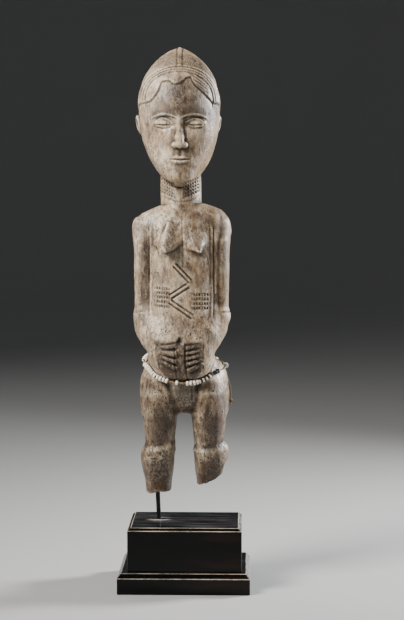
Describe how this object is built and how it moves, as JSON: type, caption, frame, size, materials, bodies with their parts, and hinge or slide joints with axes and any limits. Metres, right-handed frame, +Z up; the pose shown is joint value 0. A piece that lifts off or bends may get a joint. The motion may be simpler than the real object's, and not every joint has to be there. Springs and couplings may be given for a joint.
{
  "type": "wooden statue",
  "caption": "Standing female figure carved in wood, broken below the knees, with a string of glass beads round its hips, held by a steel rod over a stepped black base.",
  "frame": {"origin": "middle of the underside of the base, where the object stands", "axes": "+Z up, the figure faces -Y, +X is to the right of someone who faces the figure"},
  "size_m": [0.117, 0.096, 0.4794],
  "materials": {
    "carved_wood": "old carved wood with a worn grey-tan patina, brown in the hollows",
    "black_lacquer": "black lacquered wood, glossy with faint brown streaks",
    "blackened_steel": "blackened steel, satin",
    "waxed_string": "golden brown twisted plant fibre string",
    "white_glass": "opaque white glass, slightly worn",
    "navy_glass": "opaque dark blue glass, glossy",
    "clear_glass": "clouded clear glass"
  },
  "bodies": {
    "root": {"base_plinth": "black_lacquer", "base_block": "black_lacquer", "support_rod": "blackened_steel", "figure": "carved_wood", "belt_string": "waxed_string", "belt_knot": "waxed_string", "string_tail": "waxed_string", "bead_clear_01": "clear_glass", "bead_navy_01": "navy_glass", "bead_navy_02": "navy_glass", "bead_navy_03": "navy_glass", "bead_navy_04": "navy_glass", "bead_navy_05": "navy_glass", "bead_navy_seed_01": "navy_glass", "bead_navy_seed_02": "navy_glass", "bead_navy_seed_03": "navy_glass", "bead_navy_seed_04": "navy_glass", "bead_seed_01": "white_glass", "bead_seed_02": "white_glass", "bead_seed_03": "white_glass", "bead_seed_04": "white_glass", "bead_white_01": "white_glass", "bead_white_02": "white_glass", "bead_white_03": "white_glass", "bead_white_04": "white_glass", "bead_white_05": "white_glass", "bead_white_06": "white_glass", "bead_white_07": "white_glass", "bead_white_08": "white_glass", "bead_white_09": "white_glass", "bead_white_10": "white_glass", "bead_white_11": "white_glass", "bead_white_12": "white_glass", "bead_white_13": "white_glass", "bead_white_14": "white_glass", "bead_white_15": "white_glass", "bead_white_16": "white_glass", "bead_white_17": "white_glass", "bead_white_18": "white_glass", "bead_white_19": "white_glass", "bead_white_20": "white_glass", "bead_white_21": "white_glass", "bead_white_22": "white_glass", "bead_white_23": "white_glass", "bead_white_24": "white_glass", "bead_white_25": "white_glass", "bead_white_26": "white_glass", "bead_white_27": "white_glass", "bead_white_28": "white_glass", "bead_white_29": "white_glass", "bead_white_30": "white_glass", "bead_white_31": "white_glass", "bead_white_32": "white_glass", "bead_white_33": "white_glass", "bead_white_34": "white_glass"}
  },
  "joints": []
}
